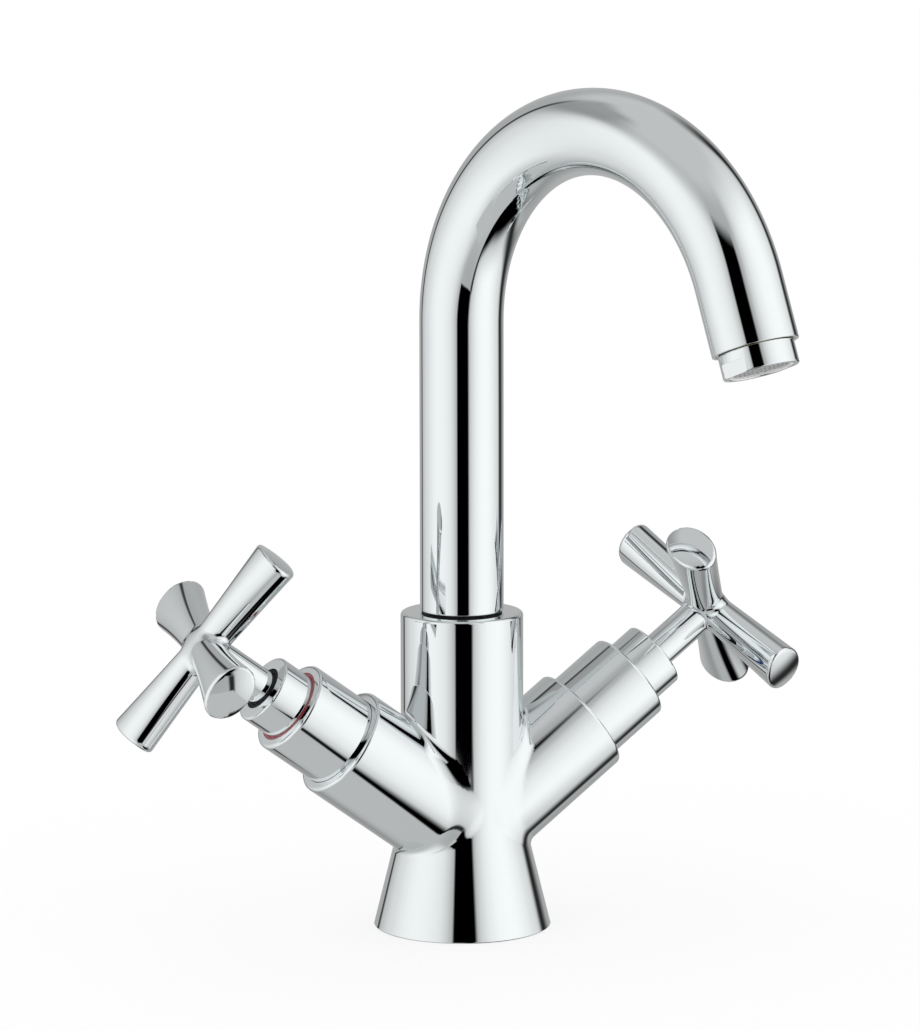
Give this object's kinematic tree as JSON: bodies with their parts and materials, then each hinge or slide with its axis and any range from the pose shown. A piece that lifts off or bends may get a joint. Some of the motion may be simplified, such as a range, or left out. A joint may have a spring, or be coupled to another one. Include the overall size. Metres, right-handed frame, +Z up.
{
  "type": "basin mixer tap",
  "caption": "Basin mixer tap with angled cross-handle valves on a flared body and a tall swivelling swan-neck spout that ends in an aerator.",
  "frame": {"origin": "centre of the tap hole on the deck, at the middle of the underside of the base", "axes": "+Z up out of the deck along the body, +X from the hot handle towards the cold one, -Y towards the user"},
  "size_m": [0.2341, 0.1811, 0.2818],
  "materials": {
    "chrome_plate": "polished bright chrome plate on brass",
    "machined_brass": "turned and threaded, unplated",
    "stainless_steel": "plain stainless steel",
    "black_rubber": "moulded nitrile rubber",
    "black_plastic": "smooth acetal",
    "white_plastic": "moulded acetal",
    "screen_plastic": "moulded, fine square mesh",
    "white_ceramic": "lapped alumina",
    "red_plastic": "translucent red, polished",
    "blue_plastic": "translucent blue, polished"
  },
  "bodies": {
    "body": {"body_casting": "chrome_plate", "deck_seal": "black_rubber", "swivel_stop_screw": "stainless_steel", "hot_headwork": "machined_brass", "hot_headwork_seal": "black_rubber", "hot_seat_seal": "black_rubber", "hot_fixed_disc": "white_ceramic", "hot_sleeve": "chrome_plate", "hot_guide_bush": "chrome_plate", "hot_index_ring": "red_plastic", "hot_stem_seal": "black_rubber", "cold_headwork": "machined_brass", "cold_headwork_seal": "black_rubber", "cold_seat_seal": "black_rubber", "cold_fixed_disc": "white_ceramic", "cold_sleeve": "chrome_plate", "cold_guide_bush": "chrome_plate", "cold_index_ring": "blue_plastic", "cold_stem_seal": "black_rubber"},
    "hot_handle": {"hot_moving_disc": "white_ceramic", "hot_spindle": "machined_brass", "hot_spindle_seals": "black_rubber", "hot_thrust_washer": "white_plastic", "hot_circlip": "stainless_steel", "hot_cross_handle": "chrome_plate", "hot_grub_screw": "stainless_steel"},
    "cold_handle": {"cold_moving_disc": "white_ceramic", "cold_spindle": "machined_brass", "cold_spindle_seals": "black_rubber", "cold_thrust_washer": "white_plastic", "cold_circlip": "stainless_steel", "cold_cross_handle": "chrome_plate", "cold_grub_screw": "stainless_steel"},
    "spout": {"spout_tube": "chrome_plate", "spout_spigot": "machined_brass", "spout_seals": "black_rubber", "glide_ring": "black_plastic", "outlet_bush": "machined_brass", "aerator_housing": "chrome_plate", "aerator_core": "white_plastic", "aerator_screen": "screen_plastic", "aerator_seal": "black_rubber"}
  },
  "joints": [
    {"name": "spout_swivel", "type": "hinge", "parent": "body", "child": "spout", "pos_m": [0, 0, 0.1056], "axis": [0, 0, 1], "range_deg": [-92.3, 57.7]},
    {"name": "hot_handle_turn", "type": "hinge", "parent": "body", "child": "hot_handle", "pos_m": [0, 0, 0.0334], "axis": [-0.807, 0, 0.5906], "range_deg": [0, 180]},
    {"name": "cold_handle_turn", "type": "hinge", "parent": "body", "child": "cold_handle", "pos_m": [0, 0, 0.0334], "axis": [0.807, 0, 0.5906], "range_deg": [-180, 0]}
  ]
}
